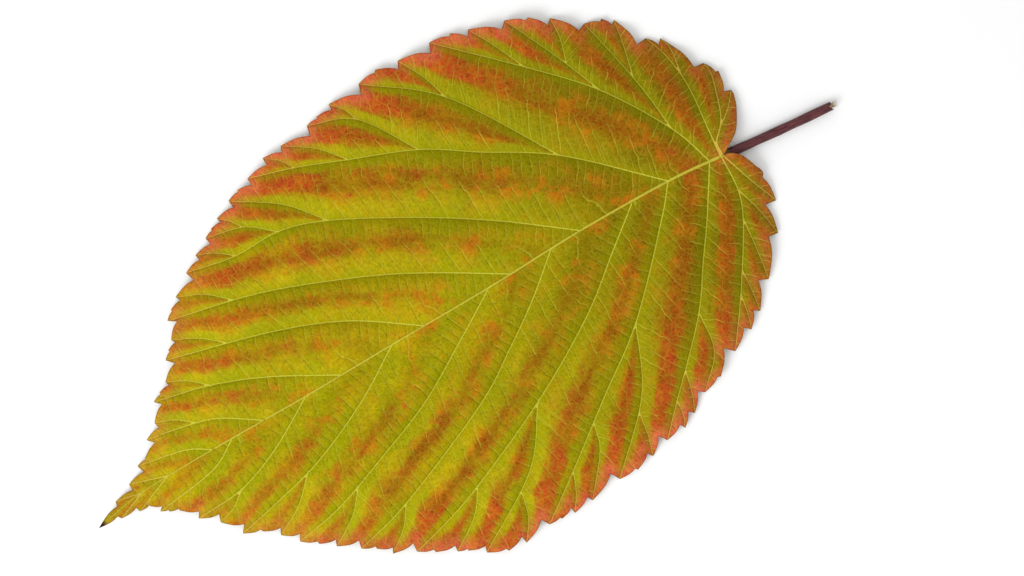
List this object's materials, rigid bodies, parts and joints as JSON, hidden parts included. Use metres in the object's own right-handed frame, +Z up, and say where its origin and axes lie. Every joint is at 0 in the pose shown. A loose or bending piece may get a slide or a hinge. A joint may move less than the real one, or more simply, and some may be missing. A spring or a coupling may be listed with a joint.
{
  "type": "autumn leaf",
  "caption": "Broad heart-based leaf with a double row of teeth and pleats between its side veins, yellow-green flushed red at the margin, on a slim maroon stalk, lying as picked",
  "frame": {"origin": "bottom centre of the leaf's box, on the surface that it lies on", "axes": "+X from the stalk's free end to the blade's tip, +Y across the blade, +Z up, away from the surface"},
  "size_m": [0.129, 0.0734, 0.005],
  "materials": {
    "blade": "satin"
  },
  "bodies": {
    "root": {"leaf": "blade"}
  },
  "joints": []
}
